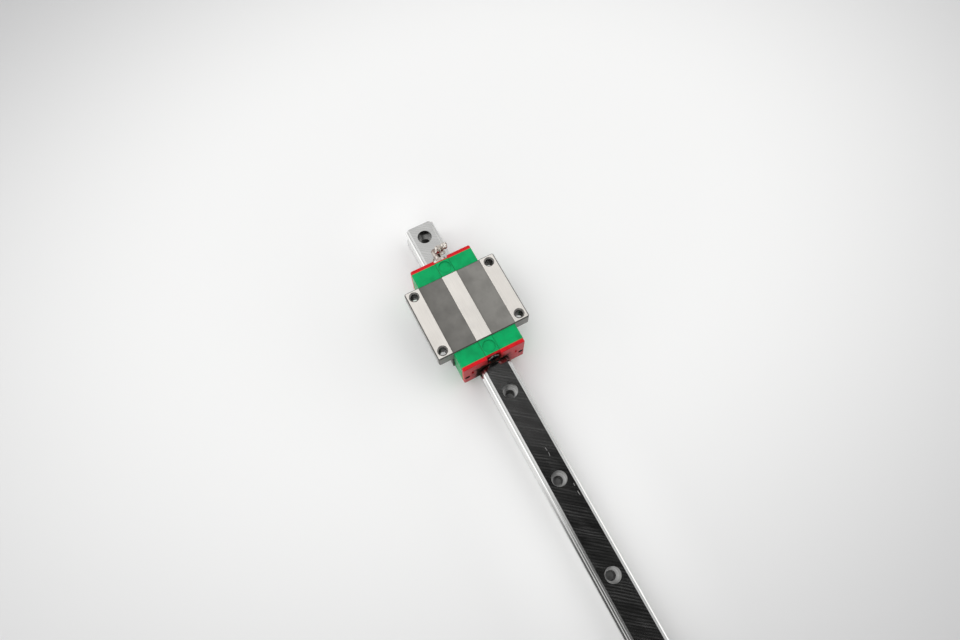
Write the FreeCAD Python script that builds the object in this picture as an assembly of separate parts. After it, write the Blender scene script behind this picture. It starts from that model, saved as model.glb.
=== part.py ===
import FreeCAD, Part
import math
import os

from FreeCAD import Vector

# Size 20 ball guide: a profile rail and one flanged carriage, in millimetres.
# X runs along the rail, Z is up, and the origin is the middle of the rail's underside.

# Rail
rail_length = 500.0
rail_width = 20.0
rail_height = 17.5
hole_pitch = 60.0
hole_end_distance = 10.0
bolt_diameter = 6.0
bolt_head_diameter = 9.5
bolt_head_depth = 8.5
rail_top_flat = 14.8
rail_foot_chamfer = 0.6
rail_foot_side = 4.4
rail_foot_slope_top = 6.9
rail_waist_width = 15.4
rail_waist_top = 10.2
rail_end_chamfer = 0.3

# Ball tracks: two rows on each side, the same circles in rail and block
track_radius = 2.06
track_y = 10.5
upper_track_z = 16.55
lower_track_z = 11.25
rail_track_from = 187
track_wrap_from = -43
track_wrap_to = 110
return_bore_y = 15.6
return_bore_radius = 2.15

# Carriage
carriage_x = -178.3
carriage_height = 30.0
carriage_length = 75.0
underside_clearance = 4.6

# Block
block_length = 49.1
flange_width = 63.0
flange_thickness = 10.0
skirt_width = 45.0
centre_strip_width = 10.0
flange_strip_inner = 21.7
strip_step = 0.4
block_edge_chamfer = 0.6
block_end_chamfer = 0.5
flange_corner_chamfer = 0.8
flange_root_radius = 1.0
skirt_edge_chamfer = 0.8
channel_half_width = 10.8
channel_roof = 18.9
lip_y = 8.8
lip_slope_top = 8.0
mount_hole_spacing_x = 40.0
mount_hole_spacing_y = 53.0
mount_hole_diameter = 5.0
mount_hole_mouth = 6.8

# Dust strips under the block
bottom_seal_thickness = 1.0
bottom_seal_root = 10.3
bottom_seal_lip = 9.4
bottom_seal_outer = 17.0

# End caps
cap_width = 42.5
cap_top = 29.25
cap_bottom = 4.3
cap_corner_radius = 1.2
cap_foot_corner = 0.6
cap_length = 10.45
cap_rail_clearance = 0.9
cap_pad_width = 9.0
cap_pad_rise = 0.5
cap_recess_x = 5.6
cap_recess_radius = 4.0
cap_recess_depth = 0.5

# End seals
seal_inset = 0.1
seal_rail_clearance = 0.35
seal_front_chamfer = 0.4
seal_web = 0.9
seal_notch_radius = 4.8
seal_pocket_y = 15.1
seal_pocket_z = 17.8
seal_pocket_width = 1.6
seal_pocket_height = 3.8
seal_pocket_depth = 1.4

# Screw recesses in the seal's face
screw_y = 18.8
screw_z = 13.4
screw_recess_radius = 1.75
screw_recess_depth = 1.4

# Lubrication port, its plug and its grease nipple
port_z = 23.4
port_radius = 3.05
port_depth = 7.0
port_thread_radius = 3.0
plug_length = 5.8
plug_head_radius = 3.9
plug_head_thickness = 1.2
plug_chamfer = 0.4
plug_socket = 3.0
plug_socket_depth = 2.5
nipple_hex = 8.0
nipple_hex_thickness = 3.0
nipple_stub = 5.0
nipple_neck_radius = 2.5
nipple_neck_chamfer = 0.8
nipple_reach = 6.3
nipple_neck_overrun = 3.3
nipple_tilt = 45.0
nipple_branch_radius = 2.4
nipple_collar_hex = 7.0
nipple_collar_turn = 24.0
nipple_collar_bottom = 3.8
nipple_collar_top = 5.2
nipple_throat_radius = 1.7
nipple_throat_top = 7.0
nipple_head_radius = 2.4
nipple_head_bottom = 8.0
nipple_head_top = 9.6
nipple_tip_radius = 1.2
nipple_tip = 11.0

rail_half = rail_width / 2
block_half = block_length / 2
flange_under = carriage_height - flange_thickness
skirt_bottom = underside_clearance + bottom_seal_thickness
upper_track = (track_y, upper_track_z)
lower_track = (track_y, lower_track_z)
cap_outer_x = block_half + cap_length
seal_outer_x = carriage_length / 2

along = Vector(1, 0, 0)
across = Vector(0, 1, 0)
up = Vector(0, 0, 1)
origin = Vector(0, 0, 0)
tiny = 1e-5


def on_circle(centre, radius, degrees):
    turn = math.radians(degrees)
    return (centre[0] + radius * math.cos(turn), centre[1] + radius * math.sin(turn))


def half_path(start, *steps):
    # Edges in the plane x = 0 from a start point (y, z). A step is an end point,
    # or a pair of points, through and end, for an arc.
    edges = []
    here = Vector(0, *start)
    for step in steps:
        if isinstance(step[0], tuple):
            through, end = (Vector(0, *point) for point in step)
            edges.append(Part.Arc(here, through, end).toShape())
        else:
            end = Vector(0, *step)
            edges.append(Part.LineSegment(here, end).toShape())
        here = end
    return edges


def mirrored_face(edges):
    # Face from one half of an outline that starts and ends on the plane y = 0
    other = [edge.mirror(origin, across) for edge in edges]
    return Part.Face(Part.Wire(Part.__sortEdges__(edges + other)))


def extruded(face, x_from, x_to):
    return face.translated(Vector(x_from, 0, 0)).extrude(Vector(x_to - x_from, 0, 0))


def box(x_from, x_to, y_from, y_to, z_from, z_to):
    corner = Vector(x_from, y_from, z_from)
    return Part.makeBox(x_to - x_from, y_to - y_from, z_to - z_from, corner)


def rod(radius, x_from, x_to, y, z):
    return Part.makeCylinder(radius, x_to - x_from, Vector(x_from, y, z), along)


def hexagon(across_flats, z_from, z_to, degrees):
    # Upright prism about the Z axis, with one corner turned by an angle from X
    corner = across_flats / math.sqrt(3)
    points = [Vector(*on_circle((0, 0), corner, degrees + 60 * side), z_from) for side in range(7)]
    return Part.Face(Part.makePolygon(points)).extrude(up * (z_to - z_from))


def hexagon_along(across_flats, x_from, x_to, z):
    prism = hexagon(across_flats, x_from, x_to, 0)
    prism.rotate(origin, across, 90)
    return prism.translated(up * z)


def edges_at(shape, x):
    # Edges that lie in the plane at x
    return [e for e in shape.Edges if abs(e.BoundBox.XMin - x) + abs(e.BoundBox.XMax - x) < tiny]


def rail_face():
    # Flat top, sloping shoulder, upper track, nose, lower track, waist and foot
    waist = rail_waist_width / 2
    nose = math.sqrt(track_radius**2 - (track_y - rail_half) ** 2)
    return mirrored_face(
        half_path(
            (0, rail_height),
            (rail_top_flat / 2, rail_height),
            on_circle(upper_track, track_radius, rail_track_from),
            (on_circle(upper_track, track_radius, 225), (rail_half, upper_track_z - nose)),
            (rail_half, lower_track_z + nose),
            (on_circle(lower_track, track_radius, 135), (track_y - track_radius, lower_track_z)),
            (waist, rail_waist_top),
            (waist, rail_foot_slope_top),
            (rail_half, rail_foot_side),
            (rail_half, rail_foot_chamfer),
            (rail_half - rail_foot_chamfer, 0),
            (0, 0),
        )
    )


def bolt_hole(x):
    seat = Vector(x, 0, rail_height - bolt_head_depth)
    shank = Part.makeCylinder(bolt_diameter / 2, rail_height, Vector(x, 0, 0), up)
    return shank.fuse(Part.makeCylinder(bolt_head_diameter / 2, bolt_head_depth, seat, up))


def make_rail():
    half = rail_length / 2
    bar = extruded(rail_face(), -half, half).removeSplitter()
    bar = bar.makeChamfer(rail_end_chamfer, edges_at(bar, -half) + edges_at(bar, half))
    count = round((rail_length - 2 * hole_end_distance) / hole_pitch) + 1
    places = [hole_end_distance - half + hole_pitch * i for i in range(count)]
    return bar.cut([bolt_hole(x) for x in places])


def block_face():
    strip = centre_strip_width / 2
    flange = flange_width / 2
    skirt = skirt_width / 2
    top = carriage_height
    edge = block_edge_chamfer
    root_centre = (skirt + flange_root_radius, flange_under - flange_root_radius)
    upper = [on_circle(upper_track, track_radius, turn) for turn in (track_wrap_from, 45, track_wrap_to)]
    lower = [on_circle(lower_track, track_radius, -turn) for turn in (track_wrap_to, 45, track_wrap_from)]
    return mirrored_face(
        half_path(
            (0, top),
            (strip, top),
            (strip + strip_step, top - strip_step),
            (flange_strip_inner - strip_step, top - strip_step),
            (flange_strip_inner, top),
            (flange - edge, top),
            (flange, top - edge),
            (flange, flange_under + edge),
            (flange - edge, flange_under),
            (skirt + flange_root_radius, flange_under),
            (on_circle(root_centre, flange_root_radius, 135), (skirt, flange_under - flange_root_radius)),
            (skirt, skirt_bottom + skirt_edge_chamfer),
            (skirt - skirt_edge_chamfer, skirt_bottom),
            (channel_half_width, skirt_bottom),
            (lip_y, lip_slope_top),
            lower[0],
            (lower[1], lower[2]),
            upper[0],
            (upper[1], upper[2]),
            (lip_y, channel_roof),
            (0, channel_roof),
        )
    )


def mount_hole(x, y):
    mouth = mount_hole_mouth / 2
    sink = mouth - mount_hole_diameter / 2
    drill = Part.makeCylinder(mount_hole_diameter / 2, flange_thickness, Vector(x, y, flange_under), up)
    cone_foot = Vector(x, y, carriage_height - sink)
    return drill.fuse(Part.makeCone(mount_hole_diameter / 2, mouth, sink, cone_foot, up))


def make_block():
    block = extruded(block_face(), -block_half, block_half).removeSplitter()
    flange = flange_width / 2
    ends = [-block_half, block_half]
    end_edges = [e for x in ends for e in edges_at(block, x)]
    corners = [e for e in end_edges if min(abs(e.BoundBox.YMin), abs(e.BoundBox.YMax)) > flange - tiny]
    block = block.makeChamfer(flange_corner_chamfer, corners)
    end_edges = [e for x in ends for e in edges_at(block, x)]
    top_edges = [e for e in end_edges if e.BoundBox.ZMin > carriage_height - 2 * strip_step]
    block = block.makeChamfer(block_end_chamfer, top_edges)
    cuts = []
    for side in (-1, 1):
        for end in (-1, 1):
            cuts.append(mount_hole(end * mount_hole_spacing_x / 2, side * mount_hole_spacing_y / 2))
        for z in (upper_track_z, lower_track_z):
            cuts.append(rod(return_bore_radius, -block_half, block_half, side * return_bore_y, z))
    return block.cut(cuts)


def make_bottom_seal():
    # Flat strip whose lip leans in along the slope of the rail's foot
    edges = half_path(
        (bottom_seal_root, underside_clearance),
        (bottom_seal_outer, underside_clearance),
        (bottom_seal_outer, skirt_bottom),
        (bottom_seal_lip, skirt_bottom),
        (bottom_seal_root, underside_clearance),
    )
    return extruded(Part.Face(Part.Wire(edges)), -block_half, block_half)


def rail_room(clearance, x_from, x_to):
    # The rail's section grown by a clearance, as the space that a piece leaves for the rail
    room = Part.Face(rail_face().OuterWire.makeOffset2D(clearance, join=2))
    return extruded(room, x_from, x_to)


def cap_face(inset):
    half = cap_width / 2 - inset
    top = cap_top - cap_pad_rise
    bottom = cap_bottom + inset
    corner = (half - cap_corner_radius, top - cap_corner_radius)
    return mirrored_face(
        half_path(
            (0, top),
            (corner[0], top),
            (on_circle(corner, cap_corner_radius, 45), (half, corner[1])),
            (half, bottom + cap_foot_corner),
            (half - cap_foot_corner, bottom),
            (0, bottom),
        )
    )


def cap_pad_face():
    half = cap_pad_width / 2
    foot = cap_top - cap_pad_rise
    return mirrored_face(half_path((0, cap_top), (half, cap_top), (half + cap_pad_rise, foot), (0, foot)))


def turn_round(side, z):
    # Half-round pocket that carries the balls from the loaded track round to the return bore
    middle = (track_y + return_bore_y) / 2
    reach = (return_bore_y - track_y) / 2 + return_bore_radius
    floor = Vector(block_half, side * middle, z - return_bore_radius)
    return Part.makeCylinder(reach, 2 * return_bore_radius, floor, up)


def make_end_cap():
    cap = extruded(cap_face(0.0), block_half, cap_outer_x)
    cap = cap.fuse(extruded(cap_pad_face(), block_half, cap_outer_x)).removeSplitter()
    recess_foot = Vector(block_half + cap_recess_x, 0, cap_top - cap_recess_depth)
    cuts = [rail_room(cap_rail_clearance, block_half, cap_outer_x)]
    cuts.append(Part.makeCylinder(cap_recess_radius, cap_recess_depth, recess_foot, up))
    cuts.append(rod(port_radius, cap_outer_x - port_depth, cap_outer_x, 0, port_z))
    for side in (-1, 1):
        for z in (upper_track_z, lower_track_z):
            cuts.append(turn_round(side, z))
    return cap.cut(cuts)


def make_end_seal():
    seal = extruded(cap_face(seal_inset), cap_outer_x, seal_outer_x).removeSplitter()
    seal = seal.makeChamfer(seal_front_chamfer, edges_at(seal, seal_outer_x))
    notch_x = cap_outer_x + seal_web
    notch = rod(seal_notch_radius, notch_x, seal_outer_x, 0, port_z)
    notch = notch.fuse(box(notch_x, seal_outer_x, -seal_notch_radius, seal_notch_radius, port_z, cap_top))
    cuts = [rail_room(seal_rail_clearance, cap_outer_x, seal_outer_x), notch]
    cuts.append(rod(port_radius, cap_outer_x, seal_outer_x, 0, port_z))
    for side in (-1, 1):
        recess_x = seal_outer_x - screw_recess_depth
        cuts.append(rod(screw_recess_radius, recess_x, seal_outer_x, side * screw_y, screw_z))
        cuts.append(seal_pocket(side * seal_pocket_y))
    return seal.cut(cuts)


def seal_pocket(y):
    # Upright slot
    wide = seal_pocket_width / 2
    tall = seal_pocket_height / 2
    x_from = seal_outer_x - seal_pocket_depth
    return box(x_from, seal_outer_x, y - wide, y + wide, seal_pocket_z - tall, seal_pocket_z + tall)


def make_port_plug():
    # Flat head in the seal's notch, with a hexagon socket and a threaded shank
    seat_x = cap_outer_x + seal_web
    face_x = seat_x + plug_head_thickness
    head = rod(plug_head_radius, seat_x, face_x, 0, port_z)
    head = head.makeChamfer(plug_chamfer, edges_at(head, face_x))
    shank = rod(port_thread_radius, seat_x - plug_length, seat_x, 0, port_z)
    return head.fuse(shank).cut(hexagon_along(plug_socket, face_x - plug_socket_depth, face_x, port_z))


def nipple_branch():
    # Turned branch about the Z axis with its hexagon collar and ball head
    profile = half_path(
        (0, 0),
        (nipple_branch_radius, 0),
        (nipple_branch_radius, nipple_collar_top),
        (nipple_throat_radius, nipple_collar_top),
        (nipple_throat_radius, nipple_throat_top),
        (nipple_head_radius, nipple_head_bottom),
        (nipple_head_radius, nipple_head_top),
        (nipple_tip_radius, nipple_tip),
        (0, nipple_tip),
        (0, 0),
    )
    turned = Part.Face(Part.Wire(profile)).revolve(origin, up, 360)
    collar = hexagon(nipple_collar_hex, nipple_collar_bottom, nipple_collar_top, nipple_collar_turn)
    return turned.fuse(collar)


def make_grease_nipple():
    # Stub, hexagon and neck along X, with the branch leaning out of the neck
    hex_x = cap_outer_x + seal_web
    elbow_x = seal_outer_x + nipple_reach
    neck_end = elbow_x + nipple_neck_overrun
    stub = rod(port_thread_radius, cap_outer_x - nipple_stub, hex_x, 0, port_z)
    base = hexagon_along(nipple_hex, hex_x, hex_x + nipple_hex_thickness, port_z)
    neck = rod(nipple_neck_radius, hex_x, neck_end, 0, port_z)
    neck = neck.makeChamfer(nipple_neck_chamfer, edges_at(neck, neck_end))
    branch = nipple_branch()
    branch.rotate(origin, along, nipple_tilt - 90)
    branch.translate(Vector(elbow_x, 0, port_z))
    return stub.fuse([base, neck, branch]).removeSplitter()


def seated(shape, rear=False):
    # Front pieces are drawn about the carriage's middle, and rear ones are their mirror image
    placed = shape.mirror(origin, along) if rear else shape
    return placed.translated(Vector(carriage_x, 0, 0))


def make_parts():
    parts = {"rail": make_rail(), "carriage_block": seated(make_block())}
    for name, rear in (("front", False), ("rear", True)):
        parts[f"end_cap_{name}"] = seated(make_end_cap(), rear)
        parts[f"end_seal_{name}"] = seated(make_end_seal(), rear)
    for side_name, side in (("left", 1), ("right", -1)):
        strip = make_bottom_seal()
        parts[f"bottom_seal_{side_name}"] = seated(strip if side > 0 else strip.mirror(origin, across))
    parts["port_plug"] = seated(make_port_plug())
    parts["grease_nipple"] = seated(make_grease_nipple(), rear=True)
    return parts


os.makedirs("parts", exist_ok=True)
for node, shape in make_parts().items():
    solids = shape.Solids
    if len(solids) != 1 or not solids[0].isValid():
        raise ValueError(f"{node} is not one valid solid")
    solids[0].exportStep(f"parts/{node}.step")
    print(node, round(solids[0].Volume), "mm3")
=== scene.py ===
import math
from functools import reduce

import bpy
import numpy as np
from mathutils import Matrix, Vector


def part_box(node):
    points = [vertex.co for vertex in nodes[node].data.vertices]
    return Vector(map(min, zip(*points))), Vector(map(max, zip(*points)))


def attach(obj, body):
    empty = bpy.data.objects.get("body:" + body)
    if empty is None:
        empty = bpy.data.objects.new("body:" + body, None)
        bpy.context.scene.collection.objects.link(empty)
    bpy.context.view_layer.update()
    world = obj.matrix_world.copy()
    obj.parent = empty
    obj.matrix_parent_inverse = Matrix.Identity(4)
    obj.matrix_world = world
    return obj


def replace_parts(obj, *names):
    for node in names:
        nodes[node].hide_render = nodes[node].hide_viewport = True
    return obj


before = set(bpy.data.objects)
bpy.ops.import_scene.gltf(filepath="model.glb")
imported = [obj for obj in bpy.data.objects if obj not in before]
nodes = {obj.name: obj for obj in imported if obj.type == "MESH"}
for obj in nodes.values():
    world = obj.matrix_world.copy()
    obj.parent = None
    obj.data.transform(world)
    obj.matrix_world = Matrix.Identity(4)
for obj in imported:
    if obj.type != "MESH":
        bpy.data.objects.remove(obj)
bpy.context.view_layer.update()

mm = 0.001
touch = 0.05 * mm  # a point this near a face counts as on it
blockLow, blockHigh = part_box("carriage_block")
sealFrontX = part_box("end_seal_front")[1].x
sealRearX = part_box("end_seal_rear")[0].x
carriageX = (blockLow.x + blockHigh.x) / 2
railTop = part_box("rail")[1].z
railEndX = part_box("rail")[1].x
print("frame loaded,", len(nodes), "nodes")


# Camera: place and direction of view, fitted to the holes and edges that the photograph shows
viewpoint = {
    "place": (-20.983, -69.055, 438.688),  # mm
    "right": (0.46310, 0.88627, -0.00772),
    "up": (-0.82304, 0.43326, 0.36728),
    "focalPixels": 711.05,
    "widthPixels": 960,
}


def makeCamera():
    right, up = np.array(viewpoint["right"]), np.array(viewpoint["up"])
    right /= np.linalg.norm(right)
    up -= right * (up @ right)
    up /= np.linalg.norm(up)
    turn = np.column_stack([right, up, np.cross(right, up)])
    lens = bpy.data.cameras.new("camera")
    lens.sensor_fit = "HORIZONTAL"
    lens.sensor_width = 36
    lens.lens = viewpoint["focalPixels"] / viewpoint["widthPixels"] * lens.sensor_width
    lens.clip_start, lens.clip_end = 0.01, 50
    camera = bpy.data.objects.new("camera", lens)
    place = Matrix.Translation(np.array(viewpoint["place"]) * mm)
    camera.matrix_world = place @ Matrix(turn.tolist()).to_4x4()
    bpy.context.scene.collection.objects.link(camera)
    bpy.context.scene.camera = camera


makeCamera()
print("camera set")


# Node helpers for the finishes
def newFinish(name, colour, metallic, roughness, **more):
    finish = bpy.data.materials.new(name)
    finish.use_nodes = True
    shader = finish.node_tree.nodes["Principled BSDF"]
    shader.inputs["Base Color"].default_value = (*colour, 1)
    shader.inputs["Metallic"].default_value = metallic
    shader.inputs["Roughness"].default_value = roughness
    for socket, value in more.items():
        shader.inputs[socket].default_value = value
    return finish, finish.node_tree, shader


def put(tree, kind, sockets=(), **settings):
    # One node; sockets pairs a socket's name or number with a value or another node's output
    made = tree.nodes.new(kind)
    for key, value in settings.items():
        setattr(made, key, value)
    for key, value in dict(sockets).items():
        if isinstance(value, bpy.types.NodeSocket):
            tree.links.new(value, made.inputs[key])
        else:
            made.inputs[key].default_value = value
    return made


def placeOf(tree):
    return put(tree, "ShaderNodeTexCoord").outputs["Object"]


def axesOf(tree, vector):
    return put(tree, "ShaderNodeSeparateXYZ", {0: vector}).outputs


def calc(tree, operation, first, second=0.0):
    return put(tree, "ShaderNodeMath", {0: first, 1: second}, operation=operation).outputs[0]


def product(tree, *values):
    return reduce(lambda first, second: calc(tree, "MULTIPLY", first, second), values)


def distance(tree, value, middle):
    # How far value is from middle, to either side
    return calc(tree, "ABSOLUTE", calc(tree, "SUBTRACT", value, middle))


def past(tree, value, edge):
    # How far value is past edge, and 0 before it
    return calc(tree, "MAXIMUM", calc(tree, "SUBTRACT", value, edge), 0.0)


def between(tree, value, low, high):
    # 1 where value lies between low and high, else 0
    return product(tree, calc(tree, "GREATER_THAN", value, low), calc(tree, "LESS_THAN", value, high))


def ramp(tree, value, low, high, toLow=0.0, toHigh=1.0, kind="LINEAR"):
    sockets = {0: value, 1: low, 2: high, 3: toLow, 4: toHigh}
    return put(tree, "ShaderNodeMapRange", sockets, interpolation_type=kind).outputs[0]


def toned(colour, share):
    return [channel * share for channel in colour]


def blendColour(tree, share, first, second):
    # first where share is 0, second where it is 1
    made = put(tree, "ShaderNodeMix", data_type="RGBA")
    for socket, value in ((made.inputs[0], share), (made.inputs[6], first), (made.inputs[7], second)):
        if isinstance(value, bpy.types.NodeSocket):
            tree.links.new(value, socket)
        else:
            socket.default_value = value if socket.type == "VALUE" else (*value, 1)
    return made.outputs[2]


def blendValue(tree, share, first, second):
    return put(tree, "ShaderNodeMix", {0: share, 2: first, 3: second}).outputs[0]


def spread(tree, first, second):
    # Length of the vector with these two parts
    both = put(tree, "ShaderNodeCombineXYZ", {0: first, 1: second}).outputs[0]
    return put(tree, "ShaderNodeVectorMath", {0: both}, operation="LENGTH").outputs["Value"]


def turnedPlace(tree, place, turn):
    # The place seen from axes that are turned about z, in degrees
    angles = (0, 0, math.radians(-turn))
    return put(tree, "ShaderNodeMapping", {"Vector": place, "Rotation": angles}).outputs[0]


def streaks(tree, place, size, turn, detail):
    # Noise whose grain is size long along x, y and z in mm, after a turn about z in degrees
    turned = turnedPlace(tree, place, turn)
    scale = [1 / (length * mm) for length in size]
    scaled = put(tree, "ShaderNodeMapping", {"Vector": turned, "Scale": scale}).outputs[0]
    return put(tree, "ShaderNodeTexNoise", {"Vector": scaled, "Scale": 1.0, "Detail": detail}).outputs[0]


def bump(tree, shader, height, depth):
    made = put(tree, "ShaderNodeBump", {"Height": height, "Distance": depth * mm, "Strength": 1.0})
    tree.links.new(made.outputs[0], shader.inputs["Normal"])


# Ground rail steel: slanting grinding marks on top, lengthwise polish on the flanks, drilled bores with
# walls painted dark as shade and seats painted paler as highlight
railFinish = {
    "steel": (0.62, 0.62, 0.61),
    # bore walls painted dark as shade; the seats below are painted paler as highlight
    "bore": (0.24, 0.24, 0.235),
    "seat": (0.72, 0.72, 0.71),
    "topRough": (0.09, 0.13),  # between and on the marks
    "flankRough": 0.12,
    "boreRough": 0.18,
    "seatRough": 0.32,
    "dentRough": 0.22,
    "markTurn": 52.0,  # degrees from the rail's length
    "markPitch": 1.7,  # mm
    "markDepth": 0.003,
    "markHaze": 0.036,  # share of scattered light on the marks
    "markShade": 0.84,  # tone between the marks
    "markFaint": 0.15,  # strength of the faintest marks
    "markUneven": 5.0,  # how far the marks stray from even steps
    "markStretch": 0.2,  # how fast that changes along the marks, against 1 across them
    "markGrain": (25, 3, 50),  # mm along, across and up, as for the other grains
    "fineGrain": (30, 0.25, 50),
    "fineShare": 0.08,
    "polishGrain": (60, 0.35, 0.35),
    "ringGrain": (0.35, 50, 0.35),
    "smearGrain": (14, 6, 6),
    "smearTurn": 20.0,
    "smearTone": 0.9,
    "smearRough": (-0.02, 0.03),
    "holePitch": 60.0,
    "holeFromEnd": 10.0,
    "boreReach": 4.78,
    "seatHeight": 9.0,  # mm above the floor
    "grease": (0.05, 0.035, 0.028),
    "greaseReach": (1.0, 4.5),  # mm from the seal's face, where the grease on the shoulders fades
    "greaseEdge": 1.5,  # mm to either side, by which that strays
    "greaseGrain": (4, 2, 2),
    "greaseSide": (3.0, 5.0),  # mm from the middle, where it starts and is full
    "greaseLow": (9.5, 14.0),  # mm above the floor
    "greaseShare": 0.85,
    "dents": (  # x, y and half length in mm, and turn in degrees
        (-78.6, 1.7, 0.9, 8.0),
        (-75.2, 1.9, 1.1, -6.0),
        (-53.0, 6.0, 0.8, -4.0),
        (-47.6, 5.9, 1.2, 2.0),
    ),
    "dentWidth": 0.12,
}


def grindMarks(tree, place):
    # Bands across a turned axis at uneven steps, stronger or fainter from place to place
    s = railFinish
    turn = s["markTurn"]
    turned = turnedPlace(tree, place, turn)
    stretch = (s["markStretch"], 1, 1)
    stretched = put(tree, "ShaderNodeMapping", {"Vector": turned, "Scale": stretch}).outputs[0]
    wave = {
        "Vector": stretched,
        "Scale": math.pi / 10 / (s["markPitch"] * mm),  # at scale 1 the bands are pi / 10 apart
        "Distortion": s["markUneven"],
        "Detail": 2.0,
        "Detail Scale": 0.8,
    }
    bands = put(tree, "ShaderNodeTexWave", wave, bands_direction="Y").outputs["Fac"]
    share = ramp(tree, streaks(tree, place, s["markGrain"], turn, 2.0), 0.35, 0.65, s["markFaint"], 1.0)
    return product(tree, bands, share)


def railDents(tree, place):
    # 1 up to the dents' width from short straight lines, falling to 0 at twice that
    s = railFinish
    width = s["dentWidth"] * mm
    dents = []
    for dentX, dentY, half, turn in s["dents"]:
        dentAxes = {
            "Vector": place,
            "Location": (dentX * mm, dentY * mm, 0),
            "Rotation": (0, 0, math.radians(turn)),
        }
        moved = put(tree, "ShaderNodeMapping", dentAxes, vector_type="TEXTURE").outputs[0]
        along, aside, _ = axesOf(tree, moved)
        beyond = past(tree, calc(tree, "ABSOLUTE", along), half * mm)
        dents.append(ramp(tree, spread(tree, beyond, aside), width, 2 * width, 1.0, 0.0))
    return reduce(lambda first, second: calc(tree, "MAXIMUM", first, second), dents)


def railGrease(tree, place):
    # Most by the front seal, with an uneven edge, and only on the shoulders
    s = railFinish
    x, y, z = axesOf(tree, place)
    full, end = s["greaseReach"]
    inner, outer = s["greaseSide"]
    low, high = s["greaseLow"]
    stray = s["greaseEdge"] * mm
    edge = ramp(tree, streaks(tree, place, s["greaseGrain"], 0.0, 3.0), 0.3, 0.7, -stray, stray)
    fromSeal = calc(tree, "ADD", distance(tree, x, sealFrontX), edge)
    bySeal = ramp(tree, fromSeal, full * mm, end * mm, s["greaseShare"], 0.0)
    aside = ramp(tree, calc(tree, "ABSOLUTE", y), inner * mm, outer * mm)
    return product(tree, bySeal, aside, ramp(tree, z, low * mm, high * mm))


def makeRailSteel():
    s = railFinish
    finish, tree, shader = newFinish("groundRailSteel", s["steel"], 1.0, s["flankRough"])
    place = placeOf(tree)
    x, y, z = axesOf(tree, place)
    fromEnd = calc(tree, "SUBTRACT", x, s["holeFromEnd"] * mm - railEndX)
    fromHole = spread(tree, calc(tree, "PINGPONG", fromEnd, s["holePitch"] * mm / 2), y)
    onTop = ramp(tree, z, railTop - 4 * touch, railTop - touch)
    belowTop = calc(tree, "SUBTRACT", 1.0, onTop)
    inBore = product(tree, calc(tree, "LESS_THAN", fromHole, s["boreReach"] * mm), belowTop)
    onSeat = calc(tree, "LESS_THAN", distance(tree, z, s["seatHeight"] * mm), touch)
    marks = grindMarks(tree, place)
    marksOnTop = product(tree, marks, onTop)
    betweenMarks = calc(tree, "SUBTRACT", onTop, marksOnTop)
    dents = product(tree, railDents(tree, place), onTop)
    fine = streaks(tree, place, s["fineGrain"], s["markTurn"], 1.0)
    polish = streaks(tree, place, s["polishGrain"], 0.0, 2.0)
    smear = streaks(tree, place, s["smearGrain"], s["smearTurn"], 3.0)
    boreWall = put(tree, "ShaderNodeCombineXYZ", {0: fromHole, 2: z}).outputs[0]
    rings = streaks(tree, boreWall, s["ringGrain"], 0.0, 1.0)

    smeared = toned(s["steel"], s["smearTone"])
    steel = blendColour(tree, ramp(tree, smear, 0.35, 0.7), s["steel"], smeared)
    steel = blendColour(tree, betweenMarks, steel, toned(s["steel"], s["markShade"]))
    steel = blendColour(tree, railGrease(tree, place), steel, s["grease"])
    # painted shade on the bore walls, painted highlight on the seats
    bore = blendColour(tree, onSeat, s["bore"], s["seat"])
    tree.links.new(blendColour(tree, inBore, steel, bore), shader.inputs["Base Color"])
    tree.links.new(ramp(tree, marksOnTop, 0.0, 1.0, 1.0, 1 - s["markHaze"]), shader.inputs["Metallic"])

    topRough = ramp(tree, marks, 0.0, 1.0, *s["topRough"])
    topRough = calc(tree, "ADD", topRough, ramp(tree, smear, 0.3, 0.7, *s["smearRough"]))
    outerRough = blendValue(tree, onTop, s["flankRough"], topRough)
    boreRough = blendValue(tree, onSeat, s["boreRough"], s["seatRough"])
    rough = blendValue(tree, inBore, outerRough, boreRough)
    rough = calc(tree, "ADD", rough, product(tree, dents, s["dentRough"]))
    tree.links.new(rough, shader.inputs["Roughness"])

    ground = calc(tree, "ADD", marks, product(tree, fine, s["fineShare"]))
    outside = blendValue(tree, onTop, polish, ground)
    bump(tree, shader, blendValue(tree, inBore, outside, rings), s["markDepth"])
    return finish


# Block steel: bright ground strips over a duller grey; painted shade on the steps between them, on the top
# edges, in the holes' mouths and on the lower ends, and painted shading across the grey
blockFinish = {
    "strip": (0.93, 0.89, 0.835),
    # the grey is painted darker on the left and lighter on the right, as shading across the block
    "greyShadedLeft": (0.165, 0.160, 0.149),
    "greyLitRight": (0.30, 0.291, 0.272),
    # painted shade, on the steps down from the strips and on the top edges' bevels
    "step": (0.10, 0.097, 0.09),
    # painted shade in the tapped holes' mouths
    "mouth": (0.22, 0.213, 0.20),
    "flangeEnd": (0.26, 0.257, 0.25),
    "flangeSide": (0.48, 0.475, 0.465),
    # painted shade on the end faces below the flanges
    "lowerEndShade": (0.07, 0.07, 0.068),
    "stripRough": 0.40,
    "greyRough": 0.52,
    "stepFoot": (0.4, 0.34),  # mm from the strips down to the grey, and to where the steps are painted dark as shade
    "flangeLow": (19.5, 20.0),  # mm above the floor, where the lower ends pass into the flanges'
    "edge": (0.52, 0.62, 1.0),  # mm from the end, the side and the top where the bevels are painted dark as shade
    "holes": (20.0, 26.5, 3.38),  # mm from the middle along and across, and radius of the mouths
    "stripGrain": (9, 0.22, 0.22),  # mm along, across and up, as for the other grains
    "stripTone": 0.9,
    "greyGrain": (0.5, 0.5, 0.5),
    "cloudGrain": (9, 9, 9),
    "cloudTones": (1.12, 0.86),
    "cloudRough": 0.05,
    "grainDepth": 0.012,
}


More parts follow.
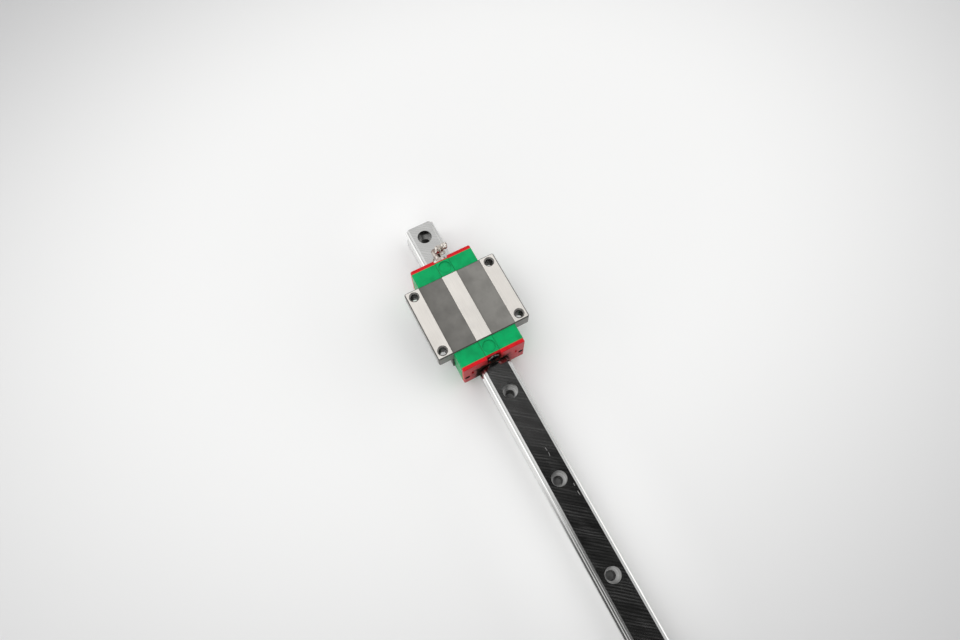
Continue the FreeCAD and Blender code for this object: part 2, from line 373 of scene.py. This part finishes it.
def makeBlockSteel():
    s = blockFinish
    finish, tree, shader = newFinish("groundBlockSteel", s["strip"], 1.0, s["stripRough"])
    place = placeOf(tree)
    x, y, z = axesOf(tree, place)
    top, side, end = blockHigh.z, blockHigh.y, blockHigh.x - carriageX
    along = distance(tree, x, carriageX)
    across = calc(tree, "ABSOLUTE", y)
    ground = ramp(tree, z, top - 4 * touch, top - touch)
    foot, dark = s["stepFoot"]
    stepShade = ramp(tree, z, top - foot * mm, top - dark * mm)
    onEnd = calc(tree, "GREATER_THAN", along, end - touch)
    onSide = calc(tree, "GREATER_THAN", across, side - touch)
    endWide, sideWide, deep = s["edge"]
    atEnd = calc(tree, "GREATER_THAN", along, end - endWide * mm)
    atSide = calc(tree, "GREATER_THAN", across, side - sideWide * mm)
    atTop = calc(tree, "GREATER_THAN", z, top - deep * mm)
    bevel = product(tree, calc(tree, "MAXIMUM", atEnd, atSide), atTop)
    holeX, holeY, mouth = s["holes"]
    pastHoleX = calc(tree, "SUBTRACT", along, holeX * mm)
    pastHoleY = calc(tree, "SUBTRACT", across, holeY * mm)
    inHole = calc(tree, "LESS_THAN", spread(tree, pastHoleX, pastHoleY), mouth * mm)
    grain = streaks(tree, place, s["stripGrain"], 0.0, 3.0)
    cloud = streaks(tree, place, s["cloudGrain"], 0.0, 4.0)
    stone = streaks(tree, place, s["greyGrain"], 0.0, 2.0)

    # painted shading across the grey, from the darker left to the lighter right
    grey = blendColour(tree, ramp(tree, y, blockLow.y, blockHigh.y), s["greyShadedLeft"], s["greyLitRight"])
    cloudy = {"Value": ramp(tree, cloud, 0.35, 0.7, *s["cloudTones"]), "Color": grey}
    grey = put(tree, "ShaderNodeHueSaturation", cloudy).outputs[0]
    # painted shade on the steps' walls
    low = blendColour(tree, stepShade, grey, s["step"])
    low = blendColour(tree, onSide, low, s["flangeSide"])
    onFlange = ramp(tree, z, *(height * mm for height in s["flangeLow"]))
    # painted shade on the lower ends, under the flanges
    low = blendColour(tree, onEnd, low, blendColour(tree, onFlange, s["lowerEndShade"], s["flangeEnd"]))
    strip = blendColour(tree, ramp(tree, grain, 0.3, 0.75), s["strip"], toned(s["strip"], s["stripTone"]))
    # painted shade on the bevels along the top edges
    shade = blendColour(tree, bevel, blendColour(tree, ground, low, strip), s["step"])
    # painted shade in the holes' mouths
    tree.links.new(blendColour(tree, inHole, shade, s["mouth"]), shader.inputs["Base Color"])

    rough = blendValue(tree, ground, s["greyRough"], s["stripRough"])
    rough = calc(tree, "ADD", rough, ramp(tree, cloud, 0.3, 0.7, -s["cloudRough"], s["cloudRough"]))
    tree.links.new(rough, shader.inputs["Roughness"])
    bump(tree, shader, blendValue(tree, ground, stone, grain), s["grainDepth"])
    return finish


# Moulded green of the caps, with painted shade along the creases of pad and recess
capFinish = {
    "colour": (0.003, 0.375, 0.116),
    # painted shade in the creases
    "creaseShade": (0.0025, 0.24, 0.075),
    "rough": 0.28,
    "gloss": 0.12,
    "padHalf": (4.45, 5.05),  # mm from the middle across, where the pad's sides slope
    "recess": (30.15, 3.8, 4.12),  # mm from the middle along, and radii on both sides of the recess's wall
    "creaseFrom": 28.7,  # mm above the floor
    "cloudGrain": (7, 7, 7),  # mm
    "cloudTones": (1.1, 0.78),
    "cloudRough": (-0.05, 0.07),
    "grain": (0.5, 0.5, 0.5),  # mm
    "grainDepth": 0.006,
}


def makeCapGreen():
    s = capFinish
    gloss = {"Specular IOR Level": s["gloss"]}
    finish, tree, shader = newFinish("mouldedGreen", s["colour"], 0.0, s["rough"], **gloss)
    place = placeOf(tree)
    x, y, z = axesOf(tree, place)
    cloud = streaks(tree, place, s["cloudGrain"], 0.0, 3.0)
    grain = streaks(tree, place, s["grain"], 0.0, 2.0)
    inner, outer = s["padHalf"]
    pad = between(tree, calc(tree, "ABSOLUTE", y), inner * mm, outer * mm)
    middle, within, beyond = s["recess"]
    fromRecess = spread(tree, calc(tree, "SUBTRACT", distance(tree, x, carriageX), middle * mm), y)
    wall = between(tree, fromRecess, within * mm, beyond * mm)
    onTop = calc(tree, "GREATER_THAN", z, s["creaseFrom"] * mm)
    # painted shade on the walls of pad and recess
    creaseShade = product(tree, calc(tree, "MAXIMUM", pad, wall), onTop)
    paler, darker = (toned(s["colour"], tone) for tone in s["cloudTones"])
    shade = blendColour(tree, ramp(tree, cloud, 0.35, 0.7), paler, darker)
    tree.links.new(blendColour(tree, creaseShade, shade, s["creaseShade"]), shader.inputs["Base Color"])
    rough = ramp(tree, cloud, 0.3, 0.7, *(s["rough"] + more for more in s["cloudRough"]))
    tree.links.new(rough, shader.inputs["Roughness"])
    bump(tree, shader, grain, s["grainDepth"])
    return finish


# Seals: bright red rim, duller grainy end face painted darker as shade, dark grease with painted shade
# where the rail and the port come through, and painted shade in the screws' recesses
sealFinish = {
    "colour": (0.66, 0.013, 0.02),
    # end face painted darker than the rim, as shade, with a coarser grain
    "face": (0.41, 0.026, 0.031),
    # dark grease, and painted shade in the port's notch and the screws' recesses
    "grease": (0.022, 0.014, 0.011),
    "rough": 0.30,
    "greaseAndShadeRough": 0.35,
    "gloss": 0.12,
    "greaseAndShadeGloss": 0.0,
    "faceDepth": 0.3,  # mm behind the outer face
    "railSide": (-1.7, 9.3, 18.3),  # y of the middle, half width and top of the dark zone round the rail, grease with painted shade
    "portSide": (-0.3, 21.5, 2.2),  # y, z and radius of the dark zone round the port, grease with painted shade in the notch
    "fade": 6.5,
    "screwRecessShade": (18.8, 13.4, 1.78),  # mm from the middle, height and radius of the screws' recesses, painted dark as shade
    "cloudGrain": (3, 3, 3),  # mm
    "cloudEdge": 0.2,  # share by which the clouds shift the dark zone's edge
    "greaseAndShadeRange": (0.15, 0.8),  # shares where grease and painted shade start and cover
    "rimTone": 0.85,
    "grain": (0.45, 0.45, 0.45),  # mm
    "grainTones": (1.25, 0.75),
    "grainRough": 0.06,
    "grainDepth": 0.02,
}


def sealGreaseAndShade(tree, y, z, cloud):
    # Dark grease with painted shade, fading away from the rail's outline and the port with a cloudy edge,
    # and painted shade filling the screws' recesses
    s = sealFinish
    middle, wide, top = s["railSide"]
    fromRail = spread(tree, past(tree, distance(tree, y, middle * mm), wide * mm), past(tree, z, top * mm))
    portY, portZ, portReach = s["portSide"]
    fromPort = spread(tree, calc(tree, "SUBTRACT", y, portY * mm), calc(tree, "SUBTRACT", z, portZ * mm))
    nearest = calc(tree, "MINIMUM", fromRail, past(tree, fromPort, portReach * mm))
    near = ramp(tree, nearest, 0.0, s["fade"] * mm, 1.0, 0.0)
    near = calc(tree, "ADD", near, ramp(tree, cloud, 0.3, 0.7, -s["cloudEdge"], s["cloudEdge"]))
    screwY, screwZ, screwReach = s["screwRecessShade"]
    aside = calc(tree, "SUBTRACT", calc(tree, "ABSOLUTE", y), screwY * mm)
    fromScrew = spread(tree, aside, calc(tree, "SUBTRACT", z, screwZ * mm))
    # painted shade filling the screws' recesses
    near = calc(tree, "MAXIMUM", near, calc(tree, "LESS_THAN", fromScrew, screwReach * mm))
    return ramp(tree, near, *s["greaseAndShadeRange"])


def makeSealRed():
    s = sealFinish
    finish, tree, shader = newFinish("mouldedRed", s["colour"], 0.0, s["rough"])
    place = placeOf(tree)
    x, y, z = axesOf(tree, place)
    half = (sealFrontX - sealRearX) / 2
    depth = s["faceDepth"] * mm
    # painted shade: the outer end face is darker than the rim
    onShadedFace = ramp(tree, distance(tree, x, carriageX), half - depth, half - depth / 2)
    cloud = streaks(tree, place, s["cloudGrain"], 0.0, 4.0)
    grain = streaks(tree, place, s["grain"], 0.0, 3.0)
    greaseAndShadeShare = sealGreaseAndShade(tree, y, z, cloud)
    paler, darker = (toned(s["face"], tone) for tone in s["grainTones"])
    face = blendColour(tree, ramp(tree, grain, 0.35, 0.65), paler, darker)
    rim = blendColour(tree, ramp(tree, cloud, 0.35, 0.7), s["colour"], toned(s["colour"], s["rimTone"]))
    # end face in painted shade; the dark zone is grease and painted shade
    shade = blendColour(tree, greaseAndShadeShare, blendColour(tree, onShadedFace, rim, face), s["grease"])
    tree.links.new(shade, shader.inputs["Base Color"])
    rough = blendValue(tree, greaseAndShadeShare, s["rough"], s["greaseAndShadeRough"])
    rough = calc(tree, "ADD", rough, ramp(tree, grain, 0.3, 0.7, -s["grainRough"], s["grainRough"]))
    tree.links.new(rough, shader.inputs["Roughness"])
    gloss = blendValue(tree, greaseAndShadeShare, s["gloss"], s["greaseAndShadeGloss"])
    tree.links.new(gloss, shader.inputs["Specular IOR Level"])
    bump(tree, shader, grain, s["grainDepth"])
    return finish


# Dark parts and plated parts: grain and its depth in mm
darkFinish = {"colour": (0.014, 0.013, 0.012), "rough": 0.35, "gloss": 0.0, "grain": 0.25, "depth": 0.006}
plugFinish = {"colour": (0.14, 0.135, 0.13), "rough": 0.13, "grain": 0.4, "depth": 0.004}
rubberFinish = {"colour": (0.022, 0.022, 0.022), "rough": 0.75, "grain": 0.4, "depth": 0.02}
platedFinish = {
    "colour": (0.80, 0.76, 0.70),
    # painted dark brown reflection, laid on the plate in clouds
    "cloud": (0.14, 0.10, 0.085),
    "rough": 0.10,
    "grain": 0.5,
    "depth": 0.003,
}
ballFinish = {"colour": (0.62, 0.62, 0.61), "rough": 0.08, "grain": 0.6, "depth": 0.001}
# thread steel painted near black, as the shade inside the holes
threadFinish = {"colour": (0.08, 0.078, 0.075), "rough": 0.25, "grain": 0.3, "depth": 0.004}
speckle = {"cloudGrain": (3, 3, 3), "paler": 1.2, "roughShares": (0.85, 1.2)}  # the same on all of them


def makeSpeckled(name, s, metallic):
    # Clouds of a second tone, paler unless given, over a fine grain; the plate's given tone is a painted
    # dark reflection
    gloss = {"Specular IOR Level": s.get("gloss", 0.5)}
    finish, tree, shader = newFinish(name, s["colour"], metallic, s["rough"], **gloss)
    place = placeOf(tree)
    share = ramp(tree, streaks(tree, place, speckle["cloudGrain"], 0.0, 3.0), 0.3, 0.7)
    other = s.get("cloud", toned(s["colour"], speckle["paler"]))
    tree.links.new(blendColour(tree, share, s["colour"], other), shader.inputs["Base Color"])
    rough = ramp(tree, share, 0.0, 1.0, *(s["rough"] * part for part in speckle["roughShares"]))
    tree.links.new(rough, shader.inputs["Roughness"])
    bump(tree, shader, streaks(tree, place, (s["grain"],) * 3, 0.0, 2.0), s["depth"])
    return finish


railSteel = makeRailSteel()
blockSteel = makeBlockSteel()
capGreen = makeCapGreen()
sealRed = makeSealRed()
darkSteel = makeSpeckled("blackenedSteel", darkFinish, 0.0)
plugSteel = makeSpeckled("plugSteel", plugFinish, 1.0)
stripRubber = makeSpeckled("blackRubber", rubberFinish, 0.0)
platedWithPaintedReflection = makeSpeckled("brightPlatePaintedReflection", platedFinish, 1.0)
ballSteel = makeSpeckled("polishedBall", ballFinish, 1.0)
threadInPaintedShade = makeSpeckled("cutThreadPaintedShade", threadFinish, 1.0)

for node, finish in (
    ("rail", railSteel),
    ("carriage_block", blockSteel),
    ("end_cap_front", capGreen),
    ("end_cap_rear", capGreen),
    ("end_seal_front", sealRed),
    ("end_seal_rear", sealRed),
    ("bottom_seal_left", stripRubber),
    ("bottom_seal_right", stripRubber),
    ("port_plug", plugSteel),
    ("grease_nipple", platedWithPaintedReflection),
):
    nodes[node].material_slots[0].material = finish
print("finishes made")


# Surfaces: grids of points in mm, with rows along a profile and columns round it
def fullTurn(columns):
    return np.linspace(0, 2 * np.pi, columns, endpoint=False)


def closedSkin(points):
    # Quads between neighbouring rows and columns; each end row closes with a fan on its own middle
    rows, columns = points.shape[:2]
    index = np.arange(rows * columns).reshape(rows, columns)
    beside = np.roll(index, -1, axis=1)
    quads = np.stack([index[:-1], beside[:-1], beside[1:], index[1:]], -1).reshape(-1, 4)
    ends = np.repeat(rows * columns + np.arange(2), columns)
    fans = np.concatenate([np.stack([beside[0], index[0]], -1), np.stack([index[-1], beside[-1]], -1)])
    corners = np.concatenate([points.reshape(-1, 3), points[[0, -1]].mean(axis=1)])
    return corners, quads, np.column_stack([fans, ends])


def ringSkin(points):
    # Quads between neighbouring rows and columns, both closed on themselves
    index = np.arange(points.shape[0] * points.shape[1]).reshape(points.shape[:2])
    beside = np.roll(index, -1, axis=1)
    quads = np.stack([index, beside, np.roll(beside, -1, axis=0), np.roll(index, -1, axis=0)], -1)
    return points.reshape(-1, 3), quads.reshape(-1, 4), np.zeros((0, 3), int)


def around(radius, height, turn):
    # Point at each radius, turn and height: r cos t, r sin t, h
    radius, height, turn = np.broadcast_arrays(radius, height, turn)
    return np.stack([radius * np.cos(turn), radius * np.sin(turn), height], -1)


def turned(profile, columns):
    # A profile of radius and height carried round the z axis
    radius, height = np.array(profile, float).T[:, :, None]
    return around(radius, height, fullTurn(columns))


def arc(radius, height, size, start, end, count):
    # Profile points on a circle of this size about a radius and height, from start to end in degrees
    turn = np.radians(np.linspace(start, end, count))
    return np.column_stack([radius + size * np.cos(turn), height + size * np.sin(turn)]).tolist()


def placed(skin, origin, axis, start):
    # Local z goes along axis and local x towards start; mm in, m out
    points, quads, fans = skin
    axis = np.array(axis) / np.linalg.norm(axis)
    start = np.array(start) - axis * (axis @ start)
    start /= np.linalg.norm(start)
    return (points @ np.stack([start, np.cross(axis, start), axis]) + origin) * mm, quads, fans


def makePiece(name, skins, finish, sharpAngle=30):
    starts = np.cumsum([0] + [len(points) for points, quads, fans in skins])
    corners = np.concatenate([points for points, quads, fans in skins])
    quads = np.concatenate([quads + first for (points, quads, fans), first in zip(skins, starts)])
    fans = np.concatenate([fans + first for (points, quads, fans), first in zip(skins, starts)])
    mesh = bpy.data.meshes.new(name)
    mesh.from_pydata(corners.tolist(), [], quads.tolist() + fans.tolist())
    mesh.shade_smooth()
    mesh.set_sharp_from_angle(angle=math.radians(sharpAngle))
    mesh.materials.append(finish)
    piece = bpy.data.objects.new(name, mesh)
    bpy.context.scene.collection.objects.link(piece)
    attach(piece, "carriage")
    return piece


def threadRadius(radius, depth, pitch, height, turn):
    # Radius less depth times a triangle wave of height over pitch less the turn's share of a circle
    phase = height / pitch - turn / (2 * np.pi)
    return radius - depth * 2 * np.abs(phase - np.round(phase))


def hexNut(acrossFlats, low, high, bevel, face=0.97, rows=7, columns=96):
    # Half the flats' width over the cosine of the turn folded to 30 degrees either side of a flat, never
    # more than a cone at each end that widens from face times the flats to the corners over the bevel
    turn = fullTurn(columns)
    flat = acrossFlats / 2 / np.cos(turn % (np.pi / 3) - np.pi / 6)
    rise = np.linspace(0, bevel, rows)
    height = np.concatenate([low + rise, high - rise[::-1]])[:, None]
    share = np.minimum(height - low, high - height) / bevel
    cone = acrossFlats / 2 * (face + (1 / math.cos(math.pi / 6) - face) * share)
    return closedSkin(around(np.minimum(flat, cone), height, turn))


# Grease nipple: threaded stub, hexagon and neck along the rail; branch, collar and ball head leaning out
nipple = {
    "axisHeight": 23.4,  # mm above the floor
    "hexFromMiddle": 35.9,  # mm from the carriage's middle
    "hexFlats": 8.0,
    "hexLong": 3.0,
    "hexBevel": 0.4,
    "stubRadius": 3.0,
    "stubLong": 5.9,
    "stubRows": 48,
    "threadPitch": 1.0,
    "threadDepth": 0.3,
    "neckRadius": 2.5,
    "neckLong": 11.2,
    "neckEdge": 0.9,
    "neckRound": (15, 80),  # degrees, as for the other rounds
    "branchFrom": 7.9,  # along the neck from the hexagon's seat
    "branchRadius": 2.4,
    "collarFlats": 7.0,
    "collar": (3.8, 5.2),
    "collarBevel": 0.15,
    "collarTurn": 50.0,  # degrees
    "throatRadius": 1.65,
    "throatFoot": 0.25,
    "footRound": (250, 180),
    "footSunk": 0.2,  # into the collar
    "throatTop": 0.55,  # below the head
    "headRadius": 2.38,
    "headEdge": 1.3,
    "headMiddle": 8.8,
    "headRound": (-48, 78),
    "tip": 10.95,
    "tipEdge": ((1.15, 0.12), (1.0, 0.0), (0.75, 0.0), (0.62, 0.35)),  # radius, and depth below the tip
    "tipBall": (0.6, 0.62),  # radius, and depth of its middle below the tip
    "ballRound": (30, 80),
    "columns": 64,
}


def nippleNeck():
    # Threaded stub below the seat, hexagon on it, and a neck with a rounded end, all about one axis
    s = nipple
    turn = fullTurn(s["columns"])
    height = np.linspace(-s["stubLong"], 0, s["stubRows"])[:, None]
    thread = threadRadius(s["stubRadius"], s["threadDepth"], s["threadPitch"], height, turn)
    edge, long, radius = s["neckEdge"], s["neckLong"], s["neckRadius"]
    neck = [(radius, 0), (radius, long - edge)]
    neck += arc(radius - edge, long - edge, edge, *s["neckRound"], 6)
    neck += [(radius - edge, long)]
    return (
        closedSkin(around(thread, height, turn)),
        hexNut(s["hexFlats"], 0.0, s["hexLong"], s["hexBevel"]),
        closedSkin(turned(neck, s["columns"])),
    )


def nippleHead():
    # Plain stem, hexagon collar, and a crown turned from a throat, a round head and a tip with a ball in it
    s = nipple
    low, high = s["collar"]
    throat, foot, tip = s["throatRadius"], s["throatFoot"], s["tip"]
    stem = [(s["branchRadius"], 0), (s["branchRadius"], low)]
    head = arc(s["headRadius"] - s["headEdge"], s["headMiddle"], s["headEdge"], *s["headRound"], 14)
    crown = [(throat + foot, high - s["footSunk"]), (throat + foot, high)]
    crown += arc(throat + foot, high + foot, foot, *s["footRound"], 4)
    crown += [(throat, head[0][1] - s["throatTop"])] + head
    crown += [(radius, tip - depth) for radius, depth in s["tipEdge"]]
    ballRadius, ballDepth = s["tipBall"]
    crown += arc(0, tip - ballDepth, ballRadius, *s["ballRound"], 5)
    return (
        closedSkin(turned(stem, s["columns"])),
        hexNut(s["collarFlats"], low, high, s["collarBevel"]),
        closedSkin(turned(crown, s["columns"])),
    )


def makeNipple():
    s = nipple
    seat = np.array([carriageX / mm - s["hexFromMiddle"], 0, s["axisHeight"]])
    along, outward, upward = np.array([1.0, 0, 0]), np.array([-1.0, 0, 0]), np.array([0.0, 0, 1])
    skins = [placed(skin, seat, outward, upward) for skin in nippleNeck()]
    lean = np.array([0, math.sqrt(0.5), math.sqrt(0.5)])
    elbow = seat + outward * s["branchFrom"]
    corner = math.radians(s["collarTurn"])
    start = math.cos(corner) * along + math.sin(corner) * np.cross(lean, along)
    skins += [placed(skin, elbow, lean, start) for skin in nippleHead()]
    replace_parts(makePiece("grease_nipple_fine", skins, platedWithPaintedReflection), "grease_nipple")


# Screws in the seals: low domed heads with a cross, sunk in the recesses
sealScrew = {
    "side": 18.8,  # mm from the middle
    "height": 13.4,
    "headRadius": 1.5,
    "seat": 1.36,  # mm below the seal's face
    "crown": 0.12,
    "dome": 0.20,
    "crossLong": 0.95,
    "crossWide": 0.24,
    "crossDeep": 0.5,
    "crossSlope": (0.08, 0.12),  # mm over which the bars' sides and ends slope
    "crossTurn": 0.7,  # radians, one way on the left and the other on the right
    "rim": 0.1,  # mm below the dome's edge
    "innermost": 0.06,  # mm, radius of the last row before the middle
    "rows": 26,
    "columns": 72,
}


def makeSealScrews():
    # Head height: a dome that falls with the square of the radius, less a cross of two tapering bars
    s = sealScrew
    turn = fullTurn(s["columns"])
    radius = np.linspace(s["headRadius"], s["innermost"], s["rows"])[:, None]
    dome = -s["crown"] - s["dome"] * (radius / s["headRadius"]) ** 2
    across, along = np.abs(radius * np.cos(turn)), np.abs(radius * np.sin(turn))
    longer, shorter = np.maximum(across, along), np.minimum(across, along)
    sideSlope, endSlope = s["crossSlope"]
    inWidth = np.clip((s["crossWide"] - shorter) / sideSlope + 0.5, 0, 1)
    inLength = np.clip((s["crossLong"] - longer) / endSlope + 0.5, 0, 1)
    top = around(radius, dome - s["crossDeep"] * inWidth * inLength, turn)
    rim = around(s["headRadius"], np.array([[-s["seat"]], [-s["crown"] - s["dome"] - s["rim"]]]), turn)
    head = closedSkin(np.concatenate([rim, top]))
    skins = []
    for faceX, outward in ((sealFrontX, 1.0), (sealRearX, -1.0)):
        for side in (-1, 1):
            place = np.array([faceX / mm, side * s["side"], s["height"]])
            bar = (0, math.cos(side * s["crossTurn"]), math.sin(side * s["crossTurn"]))
            skins.append(placed(head, place, (outward, 0, 0), bar))
    makePiece("seal_screws", skins, darkSteel)


# Threads in the flange holes: a thin sleeve, cut inside by a helical groove, in steel painted dark as the
# holes' shade
flangeThread = {
    "spacing": (40.0, 53.0),  # mm along and across
    "low": 20.3,
    "high": 28.9,
    "outerRadius": 2.485,
    "grooveRadius": 2.46,
    "depth": 0.13,
    "pitch": 1.0,
    "rowsPerPitch": 8,
    "columns": 40,
}


def makeFlangeThreads():
    # Outer wall up, then the grooved inner wall down
    s = flangeThread
    turn = fullTurn(s["columns"])
    rows = round((s["high"] - s["low"]) / s["pitch"] * s["rowsPerPitch"])
    down = np.linspace(s["high"], s["low"], rows)[:, None]
    inner = around(threadRadius(s["grooveRadius"], s["depth"], s["pitch"], down, turn), down, turn)
    outer = around(s["outerRadius"], np.array([[s["low"]], [s["high"]]]), turn)
    sleeve = ringSkin(np.concatenate([outer, inner]))
    along, across = s["spacing"]
    skins = []
    for end in (-1, 1):
        for side in (-1, 1):
            place = np.array([carriageX / mm + end * along / 2, side * across / 2, 0])
            skins.append(placed(sleeve, place, (0, 0, 1), (1, 0, 0)))
    makePiece("flange_threads", skins, threadInPaintedShade, sharpAngle=50)


# Bearing balls: four closed circuits of loaded track, half-round turn, return bore and half-round turn
balls = {
    "radius": 1.98,
    "trackSide": 10.5,
    "returnSide": 15.6,
    "trackHeights": (16.55, 11.25),
    "straightLong": 49.1,
    "count": 28,
    "lastTilt": 67.5,  # degrees, of the circle next to either pole
    "rows": 6,
    "columns": 8,
}


def ballCircuit():
    # Centres' places along and aside, at equal steps on two straights joined by two half circles
    s = balls
    long, bend = s["straightLong"], (s["returnSide"] - s["trackSide"]) / 2
    half = long / 2
    loop = 2 * long + 2 * math.pi * bend
    step = np.arange(s["count"]) * loop / s["count"]
    back = long + math.pi * bend  # where the way back starts
    firstTurn, lastTurn = (step - long) / bend, (step - back - long) / bend
    level = 0 * step
    stretch = [step < long, step < back, step < back + long]
    along = [step - half, half + bend * np.sin(firstTurn), half - (step - back)]
    aside = [level - bend, -bend * np.cos(firstTurn), level + bend]
    return (np.select(stretch, along, -half - bend * np.sin(lastTurn)),
            np.select(stretch, aside, bend * np.cos(lastTurn)))


def makeBalls():
    # Each ball is a circle of latitude per tilt and a pole at either end, moved to its centre
    s = balls
    along, aside = ballCircuit()
    middle = (s["returnSide"] + s["trackSide"]) / 2
    centres = np.concatenate([
        np.column_stack([carriageX / mm + along, side * (middle + aside), height + 0 * along])
        for side in (-1, 1) for height in s["trackHeights"]
    ])
    tilt = np.radians(np.linspace(-s["lastTilt"], s["lastTilt"], s["rows"]))
    profile = s["radius"] * np.column_stack([np.cos(tilt), np.sin(tilt)])
    points, quads, fans = closedSkin(turned(profile, s["columns"]))
    points[-2:] = [[0, 0, -s["radius"]], [0, 0, s["radius"]]]
    first = (np.arange(len(centres)) * len(points))[:, None, None]
    corners = (centres[:, None] + points).reshape(-1, 3) * mm
    skin = (corners, (quads + first).reshape(-1, 4), (fans + first).reshape(-1, 3))
    makePiece("bearing_balls", [skin], ballSteel, sharpAngle=180)


makeNipple()
makeSealScrews()
makeFlangeThreads()
makeBalls()
print("pieces made")


# Floor and surroundings; the floor carries a painted pool of light that falls off outwards, and painted
# light beside rail and carriage
overCamera = (  # band of the room over the camera: see stage's patches
    ((0, 1, 0), -0.03, 0.05),
    ((0, -1, 0), -0.34, -0.26),
    ((1, 0, 0), -0.35, -0.27),
)
stage = {
    "floor": (0.885, 0.885, 0.88),
    # painted light on the floor beside rail and carriage, against their shadow
    "floorNearPaintedLight": (0.94, 0.94, 0.935),
    # painted shade where the pool of light falls off
    "floorPaintedFalloff": (0.475, 0.475, 0.48),
    "floorRough": 0.6,
    "floorGloss": 0.2,
    "floorMiddle": (-250.0, 35.0),  # mm, middle of the painted pool of light
    "floorStretch": (1.15, 0.9),  # along and across the rail
    "floorFade": (160.0, 560.0),  # mm from there, where the painted falloff darkens it
    "nearFade": 60.0,  # mm beside rail and carriage within which painted light makes the floor palest
    "nearEnd": (-30.0, 70.0),  # mm along the rail, where that ends
    "floorSide": 6.0,  # m
    "room": 0.93,  # brightness of the room all round
    "patches": (  # brightness, then bounds: direction, cosine where the patch starts and where it is full
        (1.25, ((0, -1, 0), 0.0, 0.35), ((-1, 0, 0), -0.01, 0.11)),  # bright wall beyond, on the left
        (2.2, ((-0.25, -0.85, 0.46), 0.92, 0.975)),  # window in it
        (1.6, ((-0.80, -0.45, 0.40), 0.76, 0.93)),  # lamp behind the far left
        (1.75, ((0.22, 0.87, 0.44), 0.82, 0.97), ((1, 0, 0), -0.16, -0.06)),  # window on the right
        (0.12, ((0.12, -0.93, 0.34), 0.82, 0.93), ((1, 0, 0), -0.11, 0.01)),  # dark corner on the left
        (1.6, ((0.66, -0.52, 0.54), 0.88, 0.95)),  # lamp before the carriage
        (0.014, *overCamera),  # dark band
        (0.06, *overCamera, ((-1, 0, 0), 0.11, 0.16)),  # its paler end
    ),
}


def paintedFalloffShare(tree, x, y):
    # Painted falloff of light: grows smoothly with the stretched distance from the pool's middle
    middleX, middleY = stage["floorMiddle"]
    stretchX, stretchY = stage["floorStretch"]
    along = product(tree, calc(tree, "SUBTRACT", x, middleX * mm), stretchX)
    across = product(tree, calc(tree, "SUBTRACT", y, middleY * mm), stretchY)
    start, end = stage["floorFade"]
    return ramp(tree, spread(tree, along, across), start * mm, end * mm, kind="SMOOTHSTEP")


def paintedLightNearShare(tree, x, y):
    # Full at the outlines of rail and carriage, none at the near fade's distance; painted light that thins
    # the object's shadow on the floor
    across = calc(tree, "ABSOLUTE", y)
    before = past(tree, distance(tree, x, carriageX), sealFrontX - carriageX)
    beside = past(tree, across, blockHigh.y)
    railEnd = past(tree, calc(tree, "ABSOLUTE", x), railEndX)
    railSide = past(tree, across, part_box("rail")[1].y)
    nearest = calc(tree, "MINIMUM", spread(tree, before, beside), spread(tree, railEnd, railSide))
    near = ramp(tree, nearest, stage["nearFade"] * mm, 0.0, kind="SMOOTHSTEP")
    start, end = stage["nearEnd"]
    return product(tree, near, ramp(tree, x, start * mm, end * mm, 1.0, 0.0))


def makeFloor():
    half = stage["floorSide"] / 2
    corners = [(-half, -half, 0), (half, -half, 0), (half, half, 0), (-half, half, 0)]
    mesh = bpy.data.meshes.new("floor")
    mesh.from_pydata(corners, [], [(0, 1, 2, 3)])
    floor = bpy.data.objects.new("floor", mesh)
    bpy.context.scene.collection.objects.link(floor)
    gloss = {"Specular IOR Level": stage["floorGloss"]}
    finish, tree, shader = newFinish("paleTable", stage["floor"], 0.0, stage["floorRough"], **gloss)
    x, y, _ = axesOf(tree, placeOf(tree))
    # painted pool of light, falling off outwards
    plain = blendColour(tree, paintedFalloffShare(tree, x, y), stage["floor"], stage["floorPaintedFalloff"])
    # painted light beside rail and carriage
    shade = blendColour(tree, paintedLightNearShare(tree, x, y), plain, stage["floorNearPaintedLight"])
    tree.links.new(shade, shader.inputs["Base Color"])
    mesh.materials.append(finish)


def makeSurroundings():
    # Each patch is laid over the room's light by the product of its bounds' shares
    world = bpy.data.worlds.new("room")
    bpy.context.scene.world = world
    world.use_nodes = True
    tree = world.node_tree
    light = tree.nodes["Background"]
    light.inputs["Color"].default_value = (1, 1, 1, 1)
    toward = put(tree, "ShaderNodeTexCoord").outputs["Generated"]
    level = stage["room"]
    for brightness, *bounds in stage["patches"]:
        shares = []
        for axis, start, full in bounds:
            axis = (np.array(axis) / np.linalg.norm(axis)).tolist()
            cosine = put(tree, "ShaderNodeVectorMath", {0: toward, 1: axis}, operation="DOT_PRODUCT")
            shares.append(ramp(tree, cosine.outputs["Value"], start, full, kind="SMOOTHSTEP"))
        level = blendValue(tree, product(tree, *shares), level, brightness)
    seen = put(tree, "ShaderNodeLightPath").outputs["Is Camera Ray"]
    tree.links.new(blendValue(tree, seen, level, 1.0), light.inputs["Strength"])


makeFloor()
makeSurroundings()
bpy.context.scene.view_settings.view_transform = "Standard"
print("floor and light made")
